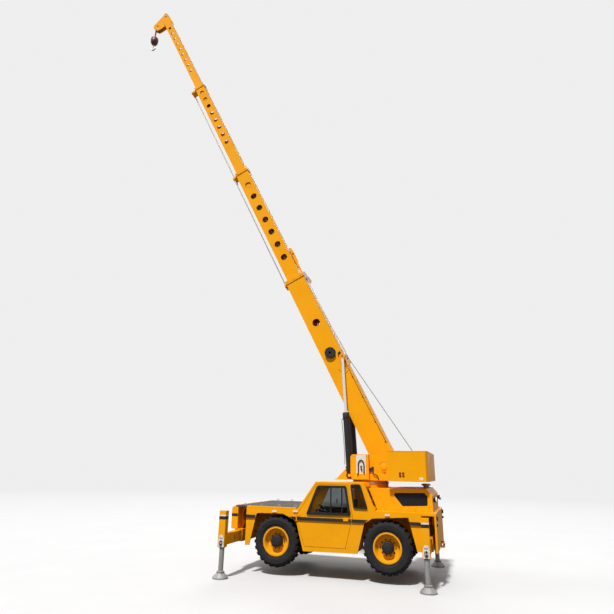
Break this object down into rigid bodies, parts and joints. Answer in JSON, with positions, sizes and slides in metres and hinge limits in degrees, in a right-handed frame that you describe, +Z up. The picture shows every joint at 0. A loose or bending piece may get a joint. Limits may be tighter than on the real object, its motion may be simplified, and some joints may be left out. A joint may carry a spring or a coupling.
{
  "type": "four-wheel carry-deck mobile crane",
  "caption": "Four-wheel industrial crane with a side cab, outriggers, slewing turret and a long telescopic boom with a load hook.",
  "frame": {"origin": "centre of the bounding box at ground level, under the outrigger feet", "axes": "+X forward, the way the boom leans, +Y left, +Z up"},
  "size_m": [10.3403, 4.104, 20.06],
  "materials": {
    "yellow_paint": "gloss",
    "dark_steel": "satin",
    "deck_tread": "matt anti-slip",
    "tyre_rubber": "matt",
    "grey_steel": "satin",
    "chrome_rod": "polished",
    "window_glass": "clear tinted",
    "seat_vinyl": "matt",
    "bare_steel": "satin",
    "black_plastic": "matt",
    "hook_red": "worn"
  },
  "bodies": {
    "chassis": {"chassis_frame": "yellow_paint", "side_panel_left": "yellow_paint", "side_panel_right": "yellow_paint", "front_deck": "deck_tread", "nose": "yellow_paint", "rear_deck": "yellow_paint", "rear_plate": "yellow_paint", "engine_hood": "yellow_paint", "hood_grille": "black_plastic", "lamps": "black_plastic", "intake_cap": "grey_steel", "engine_block": "dark_steel", "slew_pedestal": "yellow_paint", "cab_shell": "yellow_paint", "cab_glass": "window_glass", "driver_seat": "seat_vinyl", "steering_console": "black_plastic", "side_tank": "yellow_paint", "axle_front": "dark_steel", "axle_rear": "dark_steel"},
    "door": {"cab_door": "yellow_paint", "door_glass": "window_glass"},
    "knuckle_fl": {"knuckle_fl": "yellow_paint"},
    "wheel_fl": {"tyre_fl": "tyre_rubber", "rim_fl": "yellow_paint"},
    "knuckle_fr": {"knuckle_fr": "yellow_paint"},
    "wheel_fr": {"tyre_fr": "tyre_rubber", "rim_fr": "yellow_paint"},
    "knuckle_rl": {"knuckle_rl": "yellow_paint"},
    "wheel_rl": {"tyre_rl": "tyre_rubber", "rim_rl": "yellow_paint"},
    "knuckle_rr": {"knuckle_rr": "yellow_paint"},
    "wheel_rr": {"tyre_rr": "tyre_rubber", "rim_rr": "yellow_paint"},
    "outrigger_fl": {"outrigger_fl": "yellow_paint"},
    "jack_fl": {"jack_fl": "grey_steel"},
    "outrigger_fr": {"outrigger_fr": "yellow_paint"},
    "jack_fr": {"jack_fr": "grey_steel"},
    "outrigger_rl": {"outrigger_rl": "yellow_paint"},
    "jack_rl": {"jack_rl": "grey_steel"},
    "outrigger_rr": {"outrigger_rr": "yellow_paint"},
    "jack_rr": {"jack_rr": "grey_steel"},
    "turret": {"turret_frame": "yellow_paint", "counterweight": "yellow_paint", "control_box": "yellow_paint", "hoist_winch": "dark_steel"},
    "lift_barrels": {"lift_barrels": "dark_steel"},
    "lift_rods": {"lift_rods": "chrome_rod"},
    "boom": {"boom_base": "yellow_paint", "hose_reel": "dark_steel", "telescope_rod": "chrome_rod"},
    "section_2": {"boom_section_2": "yellow_paint", "telescope_barrel": "grey_steel", "guide_rod_2": "grey_steel"},
    "section_3": {"boom_section_3": "yellow_paint", "guide_rod_3": "grey_steel"},
    "tip": {"boom_tip": "yellow_paint", "tip_sheaves": "dark_steel"},
    "hook": {"hook_block": "hook_red", "load_hook": "bare_steel"}
  },
  "joints": [
    {"name": "cab_door_swing", "type": "hinge", "parent": "chassis", "child": "door", "pos_m": [-1.93515, 1.235, 1.1], "axis": [0, 0, -1], "range_deg": [0, 85]},
    {"name": "steer_fl", "type": "hinge", "parent": "chassis", "child": "knuckle_fl", "pos_m": [-1.42515, 0.86, 0.717], "axis": [0, 0, 1], "range_deg": [-25, 25]},
    {"name": "wheel_spin_fl", "type": "hinge", "parent": "knuckle_fl", "child": "wheel_fl", "pos_m": [-1.42515, 1.01, 0.717], "axis": [0, 1, 0], "continuous": true},
    {"name": "steer_fr", "type": "hinge", "parent": "chassis", "child": "knuckle_fr", "pos_m": [-1.42515, -0.86, 0.717], "axis": [0, 0, 1], "range_deg": [-25, 25]},
    {"name": "wheel_spin_fr", "type": "hinge", "parent": "knuckle_fr", "child": "wheel_fr", "pos_m": [-1.42515, -1.01, 0.717], "axis": [0, 1, 0], "continuous": true},
    {"name": "steer_rl", "type": "hinge", "parent": "chassis", "child": "knuckle_rl", "pos_m": [-4.01015, 0.86, 0.717], "axis": [0, 0, 1], "range_deg": [-25, 25]},
    {"name": "wheel_spin_rl", "type": "hinge", "parent": "knuckle_rl", "child": "wheel_rl", "pos_m": [-4.01015, 1.01, 0.717], "axis": [0, 1, 0], "continuous": true},
    {"name": "steer_rr", "type": "hinge", "parent": "chassis", "child": "knuckle_rr", "pos_m": [-4.01015, -0.86, 0.717], "axis": [0, 0, 1], "range_deg": [-25, 25]},
    {"name": "wheel_spin_rr", "type": "hinge", "parent": "knuckle_rr", "child": "wheel_rr", "pos_m": [-4.01015, -1.01, 0.717], "axis": [0, 1, 0], "continuous": true},
    {"name": "outrigger_slide_fl", "type": "slide", "parent": "chassis", "child": "outrigger_fl", "axis": [0, 1, 0], "range_m": [-0.735, 0.1]},
    {"name": "jack_lift_fl", "type": "slide", "parent": "outrigger_fl", "child": "jack_fl", "axis": [0, 0, 1], "range_m": [0, 0.45]},
    {"name": "outrigger_slide_fr", "type": "slide", "parent": "chassis", "child": "outrigger_fr", "axis": [0, -1, 0], "range_m": [-0.735, 0.1]},
    {"name": "jack_lift_fr", "type": "slide", "parent": "outrigger_fr", "child": "jack_fr", "axis": [0, 0, 1], "range_m": [0, 0.45]},
    {"name": "outrigger_slide_rl", "type": "slide", "parent": "chassis", "child": "outrigger_rl", "axis": [0, 1, 0], "range_m": [-0.45, 0.35]},
    {"name": "jack_lift_rl", "type": "slide", "parent": "outrigger_rl", "child": "jack_rl", "axis": [0, 0, 1], "range_m": [0, 0.45]},
    {"name": "outrigger_slide_rr", "type": "slide", "parent": "chassis", "child": "outrigger_rr", "axis": [0, -1, 0], "range_m": [-0.45, 0.35]},
    {"name": "jack_lift_rr", "type": "slide", "parent": "outrigger_rr", "child": "jack_rr", "axis": [0, 0, 1], "range_m": [0, 0.45]},
    {"name": "turret_slew", "type": "hinge", "parent": "chassis", "child": "turret", "pos_m": [-3.46015, 0, 2.075], "axis": [0, 0, 1], "continuous": true},
    {"name": "boom_luff", "type": "hinge", "parent": "turret", "child": "boom", "pos_m": [-3.87815, 0, 2.393], "axis": [0, -1, 0], "range_deg": [-63.9, 8]},
    {"name": "lift_barrel_tilt", "type": "hinge", "parent": "turret", "child": "lift_barrels", "pos_m": [-3.01015, 0, 2.19], "axis": [0, -1, 0], "range_deg": [-71.5, 9.5]},
    {"name": "lift_rod_slide", "type": "slide", "parent": "lift_barrels", "child": "lift_rods", "axis": [0.0594, 0, 0.9982], "range_m": [-0.92, 0.12]},
    {"name": "section_2_slide", "type": "slide", "parent": "boom", "child": "section_2", "axis": [0.4399, 0, 0.898], "range_m": [-4.05, 0]},
    {"name": "section_3_slide", "type": "slide", "parent": "section_2", "child": "section_3", "axis": [0.4399, 0, 0.898], "range_m": [-4.05, 0]},
    {"name": "tip_slide", "type": "slide", "parent": "section_3", "child": "tip", "axis": [0.4399, 0, 0.898], "range_m": [-4.05, 0]},
    {"name": "hook_swing", "type": "hinge", "parent": "tip", "child": "hook", "pos_m": [5.02015, 0, 19.45439], "axis": [0, -1, 0], "range_deg": [-20, 80]}
  ],
  "couplings": [
    {"joint": "steer_fr", "follows": "steer_fl", "ratio": 1},
    {"joint": "steer_rr", "follows": "steer_rl", "ratio": 1},
    {"joint": "lift_barrel_tilt", "follows": "boom_luff", "ratio": 1.11},
    {"joint": "lift_rod_slide", "follows": "boom_luff", "m_per_rad": 0.815},
    {"joint": "section_3_slide", "follows": "section_2_slide", "ratio": 1},
    {"joint": "tip_slide", "follows": "section_2_slide", "ratio": 1}
  ]
}
